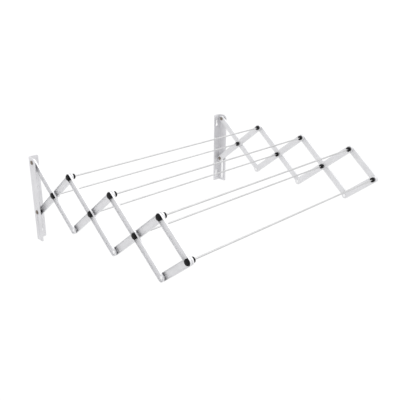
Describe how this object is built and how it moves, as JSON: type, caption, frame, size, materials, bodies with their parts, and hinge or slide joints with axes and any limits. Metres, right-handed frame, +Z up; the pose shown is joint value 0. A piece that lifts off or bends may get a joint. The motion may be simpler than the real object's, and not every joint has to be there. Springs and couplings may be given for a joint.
{
  "type": "wall-mounted folding clothes airer",
  "caption": "Wall-mounted folding airer: scissor arms of aluminium channel on two brackets carry cross rods and fold back to the wall.",
  "frame": {"origin": "on the wall plane, midway between the brackets, at the height of the top pivots", "axes": "+X along the rods to the right as seen from the room, +Y into the wall, +Z up"},
  "size_m": [0.7, 0.5899, 0.227],
  "materials": {
    "bracket": "satin",
    "arm": "satin",
    "rod": "satin",
    "rivet": "satin",
    "pin": "dark satin",
    "cap": "satin black"
  },
  "bodies": {
    "root": {"bracket_left": "bracket", "bracket_right": "bracket", "top_pivot_left": "pin", "top_pivot_right": "pin"},
    "falling_1": {"falling_arm_1_left": "arm", "falling_arm_1_right": "arm", "rod_1": "rod", "rod_cap_1_left": "cap", "rod_cap_1_right": "cap", "lower_rivet_1_left": "rivet", "lower_rivet_1_right": "rivet"},
    "rising_1": {"rising_arm_1_left": "arm", "rising_arm_1_right": "arm", "slot_pin_left": "pin", "slot_pin_right": "pin", "slot_spacer_left": "cap", "slot_spacer_right": "cap", "rod_2": "rod", "rod_cap_2_left": "cap", "rod_cap_2_right": "cap", "stop_cap_2_left": "cap", "stop_cap_2_right": "cap"},
    "falling_2": {"falling_arm_2_left": "arm", "falling_arm_2_right": "arm", "rod_3": "rod", "rod_cap_3_left": "cap", "rod_cap_3_right": "cap", "lower_rivet_2_left": "rivet", "lower_rivet_2_right": "rivet"},
    "rising_2": {"rising_arm_2_left": "arm", "rising_arm_2_right": "arm", "rod_4": "rod", "rod_cap_4_left": "cap", "rod_cap_4_right": "cap", "stop_cap_4_left": "cap", "stop_cap_4_right": "cap"},
    "falling_3": {"falling_arm_3_left": "arm", "falling_arm_3_right": "arm", "rod_5": "rod", "rod_cap_5_left": "cap", "rod_cap_5_right": "cap", "lower_rivet_3_left": "rivet", "lower_rivet_3_right": "rivet"},
    "rising_3": {"rising_arm_3_left": "arm", "rising_arm_3_right": "arm", "rod_6": "rod", "rod_cap_6_left": "cap", "rod_cap_6_right": "cap", "stop_cap_6_left": "cap", "stop_cap_6_right": "cap"},
    "falling_4": {"falling_arm_4_left": "arm", "falling_arm_4_right": "arm", "rod_7": "rod", "rod_cap_7_left": "cap", "rod_cap_7_right": "cap", "stop_cap_7_left": "cap", "stop_cap_7_right": "cap"},
    "rising_4": {"rising_arm_4_left": "arm", "rising_arm_4_right": "arm"}
  },
  "joints": [
    {"name": "fold", "type": "hinge", "parent": "root", "child": "falling_1", "pos_m": [0, -0.016, 0], "axis": [1, 0, 0], "range_deg": [0, 35.2]},
    {"name": "cross_1", "type": "hinge", "parent": "falling_1", "child": "rising_1", "pos_m": [0, -0.09667, -0.06721], "axis": [1, 0, 0], "range_deg": [-70.6, 0]},
    {"name": "upper_1", "type": "hinge", "parent": "rising_1", "child": "falling_2", "pos_m": [0, -0.17734, 0], "axis": [1, 0, 0], "range_deg": [0, 70.6]},
    {"name": "lower_1", "type": "hinge", "parent": "falling_1", "child": "rising_2", "pos_m": [0, -0.17734, -0.13442], "axis": [1, 0, 0], "range_deg": [-70.6, 0]},
    {"name": "upper_2", "type": "hinge", "parent": "rising_2", "child": "falling_3", "pos_m": [0, -0.33868, 0], "axis": [1, 0, 0], "range_deg": [0, 70.6]},
    {"name": "lower_2", "type": "hinge", "parent": "falling_2", "child": "rising_3", "pos_m": [0, -0.33868, -0.13442], "axis": [1, 0, 0], "range_deg": [-70.6, 0]},
    {"name": "upper_3", "type": "hinge", "parent": "rising_3", "child": "falling_4", "pos_m": [0, -0.50002, 0], "axis": [1, 0, 0], "range_deg": [0, 70.6]},
    {"name": "lower_3", "type": "hinge", "parent": "falling_3", "child": "rising_4", "pos_m": [0, -0.50002, -0.13442], "axis": [1, 0, 0], "range_deg": [-70.6, 0]}
  ],
  "couplings": [
    {"joint": "cross_1", "follows": "fold", "ratio": -2},
    {"joint": "upper_1", "follows": "fold", "ratio": 2},
    {"joint": "lower_1", "follows": "fold", "ratio": -2},
    {"joint": "upper_2", "follows": "fold", "ratio": 2},
    {"joint": "lower_2", "follows": "fold", "ratio": -2},
    {"joint": "upper_3", "follows": "fold", "ratio": 2},
    {"joint": "lower_3", "follows": "fold", "ratio": -2}
  ]
}
